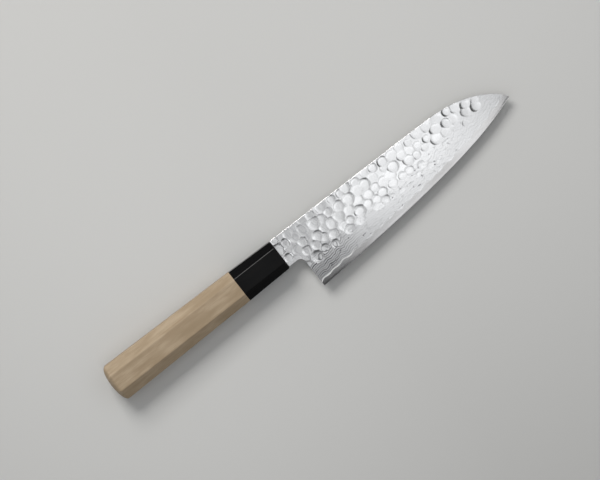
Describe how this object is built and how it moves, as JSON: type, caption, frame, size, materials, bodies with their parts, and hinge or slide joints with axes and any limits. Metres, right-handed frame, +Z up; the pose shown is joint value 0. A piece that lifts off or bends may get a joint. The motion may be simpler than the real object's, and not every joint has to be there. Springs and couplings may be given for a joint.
{
  "type": "santoku knife",
  "caption": "Japanese all-purpose kitchen knife with a hammered, clad steel blade, a horn ferrule and an eight-sided wooden handle, lying on its side.",
  "frame": {"origin": "under the middle of the knife's box, on the surface that the knife lies on", "axes": "+X from the butt of the handle to the tip, +Y from the edge to the spine, +Z up from the surface, out of the blade's right side"},
  "size_m": [0.3242, 0.0476, 0.0215],
  "materials": {
    "core_steel": "fine satin, hard steel bare along the edge",
    "clad_steel": "bright satin, folded layers, hammered above and ground below",
    "horn": "black horn, semi-gloss",
    "magnolia": "bare, fine-grained pale wood, matt",
    "resin": "cured resin, hidden"
  },
  "bodies": {
    "root": {"core_steel": "core_steel", "cladding_right": "clad_steel", "cladding_left": "clad_steel", "ferrule": "horn", "handle_body": "magnolia", "tang_bedding": "resin"}
  },
  "joints": []
}
